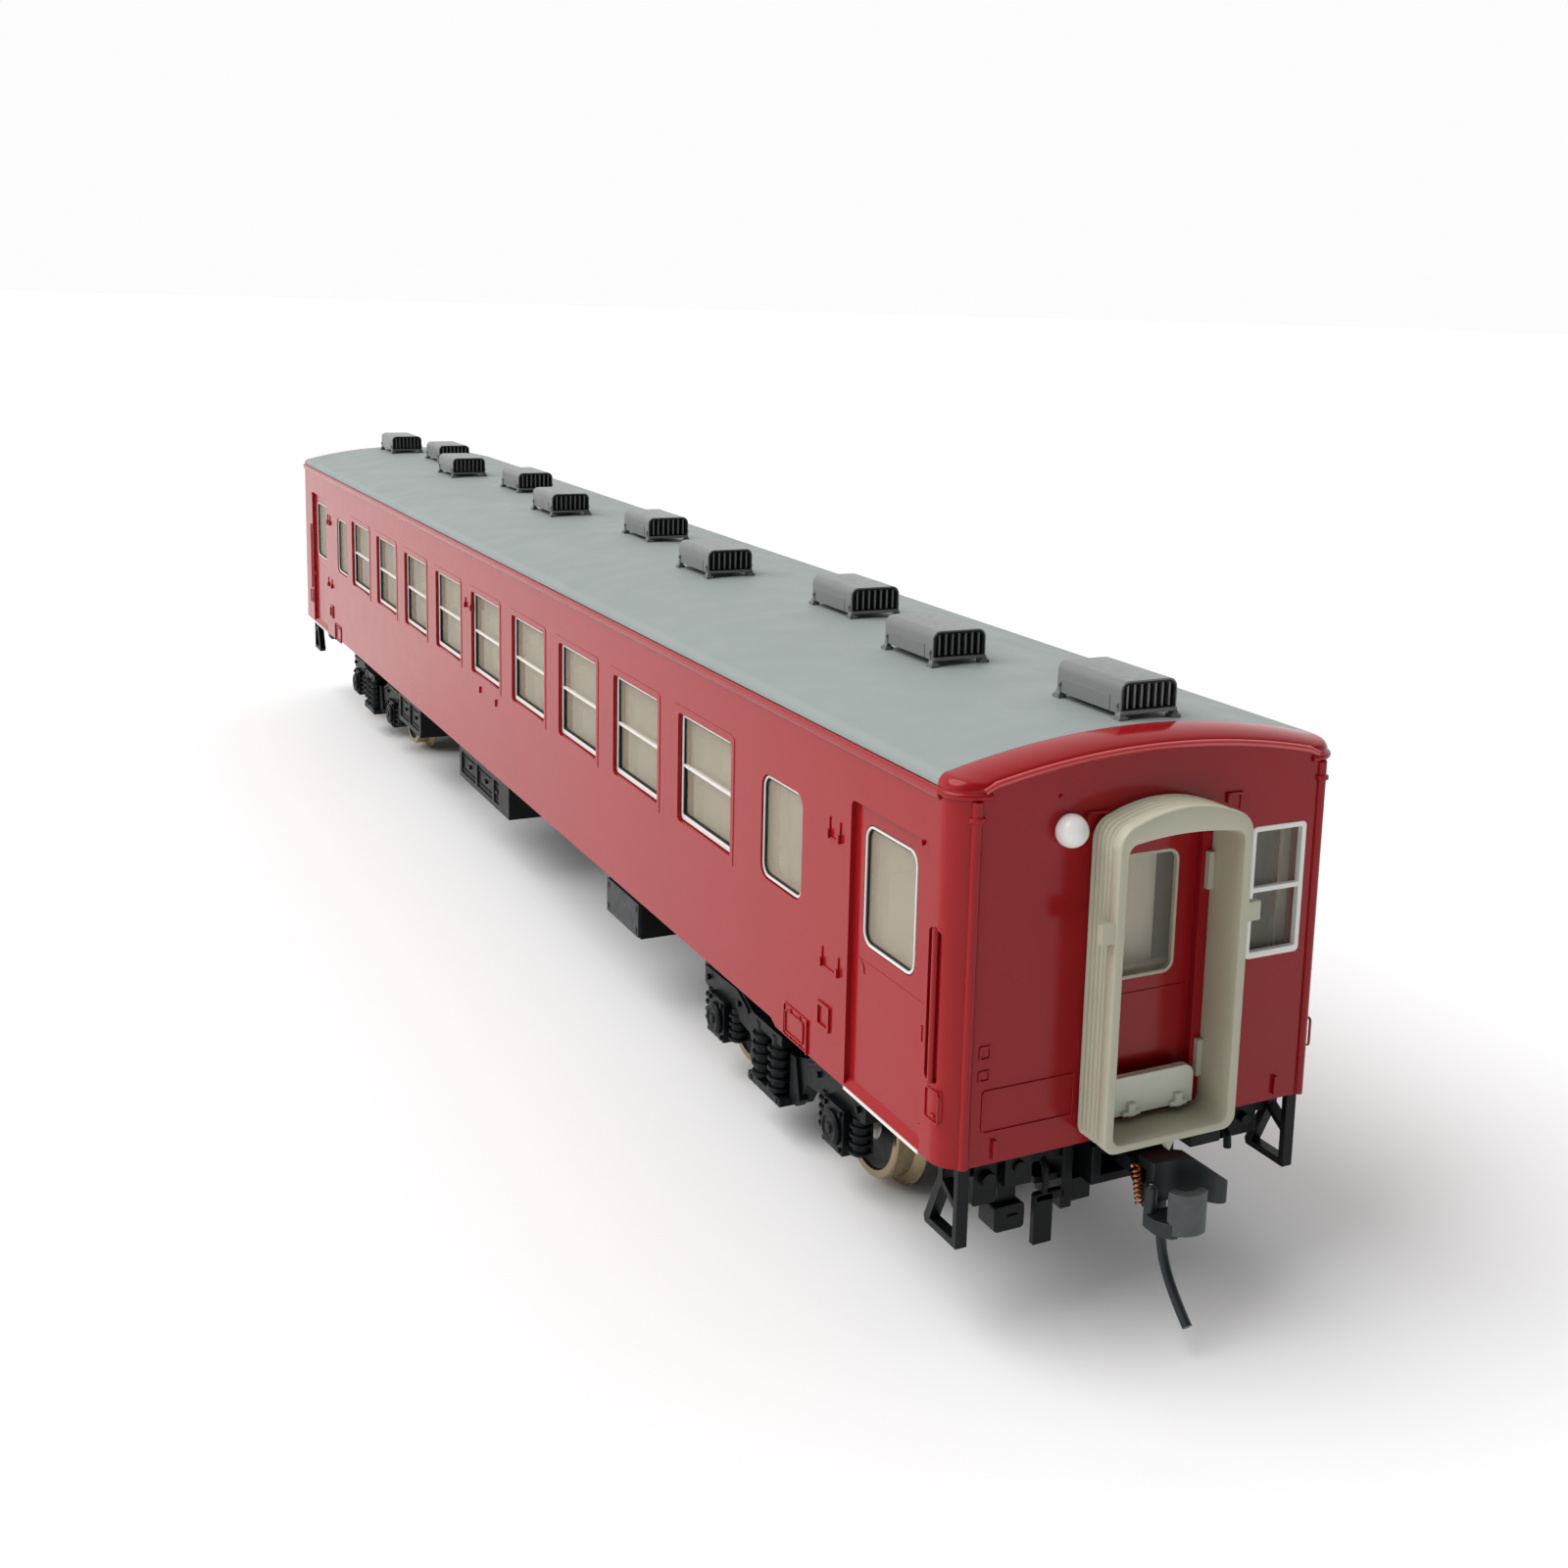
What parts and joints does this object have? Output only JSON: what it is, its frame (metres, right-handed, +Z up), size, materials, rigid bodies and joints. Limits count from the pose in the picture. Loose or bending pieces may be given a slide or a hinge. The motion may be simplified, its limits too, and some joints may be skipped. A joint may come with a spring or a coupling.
{
  "type": "model passenger coach",
  "caption": "Model railway passenger coach with swivelling bogies, turning wheels, sprung knuckle couplers and gangways.",
  "frame": {"origin": "on the plane under the wheel flanges, midway along and across the coach", "axes": "+X along the coach towards its front end, +Y across it, +Z up"},
  "size_m": [0.2604, 0.0356, 0.0491],
  "materials": {
    "red_shell": "glossy deep red",
    "roof_grey": "satin pale grey",
    "ventilator_grey": "satin warm grey",
    "glazing": "clear moulding, polished",
    "underframe_black": "matt bluish black",
    "weight_steel": "plain strip",
    "interior_cream": "matt",
    "marker_white": "glossy",
    "gangway_grey": "satin greenish grey",
    "footplate_grey": "satin",
    "coupler_metal": "blackened casting",
    "spring_copper": "bright bronze wire",
    "screw_steel": "plated",
    "axle_steel": "turned",
    "wheel_metal": "turned and nickel-plated"
  },
  "bodies": {
    "coach": {"body_shell": "red_shell", "roof": "roof_grey", "ventilator_01": "ventilator_grey", "ventilator_02": "ventilator_grey", "ventilator_03": "ventilator_grey", "ventilator_04": "ventilator_grey", "ventilator_05": "ventilator_grey", "ventilator_06": "ventilator_grey", "ventilator_07": "ventilator_grey", "ventilator_08": "ventilator_grey", "ventilator_09": "ventilator_grey", "ventilator_10": "ventilator_grey", "side_glazing_left": "glazing", "side_glazing_right": "glazing", "underframe": "underframe_black", "ballast_weight": "weight_steel", "interior": "interior_cream", "battery_box": "underframe_black", "equipment_box": "underframe_black", "control_box": "underframe_black", "water_tank": "underframe_black", "air_tank": "underframe_black", "brake_cylinder": "underframe_black", "marker_lens": "marker_white", "gangway_front": "gangway_grey", "end_glazing_front": "glazing", "step_front_left": "underframe_black", "step_front_right": "underframe_black", "coupler_box_front": "underframe_black", "bogie_screw_front": "screw_steel", "gangway_rear": "gangway_grey", "end_glazing_rear": "glazing", "step_rear_left": "underframe_black", "step_rear_right": "underframe_black", "coupler_box_rear": "underframe_black", "bogie_screw_rear": "screw_steel"},
    "front_bogie": {"bogie_frame_front": "underframe_black"},
    "front_outer_wheelset": {"axle_front_outer": "axle_steel", "wheel_front_outer_left": "wheel_metal", "wheel_front_outer_right": "wheel_metal"},
    "front_inner_wheelset": {"axle_front_inner": "axle_steel", "wheel_front_inner_left": "wheel_metal", "wheel_front_inner_right": "wheel_metal"},
    "front_coupler": {"coupler_head_front": "coupler_metal", "knuckle_spring_front": "spring_copper"},
    "front_knuckle": {"knuckle_front": "coupler_metal", "trip_pin_front": "coupler_metal"},
    "front_footplate": {"footplate_front": "footplate_grey"},
    "rear_bogie": {"bogie_frame_rear": "underframe_black"},
    "rear_outer_wheelset": {"axle_rear_outer": "axle_steel", "wheel_rear_outer_left": "wheel_metal", "wheel_rear_outer_right": "wheel_metal"},
    "rear_inner_wheelset": {"axle_rear_inner": "axle_steel", "wheel_rear_inner_left": "wheel_metal", "wheel_rear_inner_right": "wheel_metal"},
    "rear_coupler": {"coupler_head_rear": "coupler_metal", "knuckle_spring_rear": "spring_copper"},
    "rear_knuckle": {"knuckle_rear": "coupler_metal", "trip_pin_rear": "coupler_metal"},
    "rear_footplate": {"footplate_rear": "footplate_grey"}
  },
  "joints": [
    {"name": "front_bogie_swivel", "type": "hinge", "parent": "coach", "child": "front_bogie", "pos_m": [0.08313, 0, 0.0096], "axis": [0, 0, 1], "range_deg": [-12, 12]},
    {"name": "front_outer_wheelset_spin", "type": "hinge", "parent": "front_bogie", "child": "front_outer_wheelset", "pos_m": [0.09625, 0, 0.00615], "axis": [0, 1, 0], "continuous": true},
    {"name": "front_inner_wheelset_spin", "type": "hinge", "parent": "front_bogie", "child": "front_inner_wheelset", "pos_m": [0.07, 0, 0.00615], "axis": [0, 1, 0], "continuous": true},
    {"name": "front_coupler_swing", "type": "hinge", "parent": "coach", "child": "front_coupler", "pos_m": [0.1165, 0, 0.012], "axis": [0, 0, 1], "range_deg": [-10, 10], "stiffness_Nm_per_rad": 0.0004},
    {"name": "front_knuckle_open", "type": "hinge", "parent": "front_coupler", "child": "front_knuckle", "pos_m": [0.1257, -0.0015, 0.0106], "axis": [0, 0, -1], "range_deg": [0, 25], "stiffness_Nm_per_rad": 0.0003},
    {"name": "front_footplate_fold", "type": "hinge", "parent": "coach", "child": "front_footplate", "pos_m": [0.12243, 0, 0.0168], "axis": [0, 1, 0], "range_deg": [0, 90]},
    {"name": "rear_bogie_swivel", "type": "hinge", "parent": "coach", "child": "rear_bogie", "pos_m": [-0.08313, 0, 0.0096], "axis": [0, 0, 1], "range_deg": [-12, 12]},
    {"name": "rear_outer_wheelset_spin", "type": "hinge", "parent": "rear_bogie", "child": "rear_outer_wheelset", "pos_m": [-0.09625, 0, 0.00615], "axis": [0, 1, 0], "continuous": true},
    {"name": "rear_inner_wheelset_spin", "type": "hinge", "parent": "rear_bogie", "child": "rear_inner_wheelset", "pos_m": [-0.07, 0, 0.00615], "axis": [0, 1, 0], "continuous": true},
    {"name": "rear_coupler_swing", "type": "hinge", "parent": "coach", "child": "rear_coupler", "pos_m": [-0.1165, 0, 0.012], "axis": [0, 0, 1], "range_deg": [-10, 10], "stiffness_Nm_per_rad": 0.0004},
    {"name": "rear_knuckle_open", "type": "hinge", "parent": "rear_coupler", "child": "rear_knuckle", "pos_m": [-0.1257, 0.0015, 0.0106], "axis": [0, 0, -1], "range_deg": [0, 25], "stiffness_Nm_per_rad": 0.0003},
    {"name": "rear_footplate_fold", "type": "hinge", "parent": "coach", "child": "rear_footplate", "pos_m": [-0.12243, 0, 0.0168], "axis": [0, -1, 0], "range_deg": [0, 90]}
  ]
}
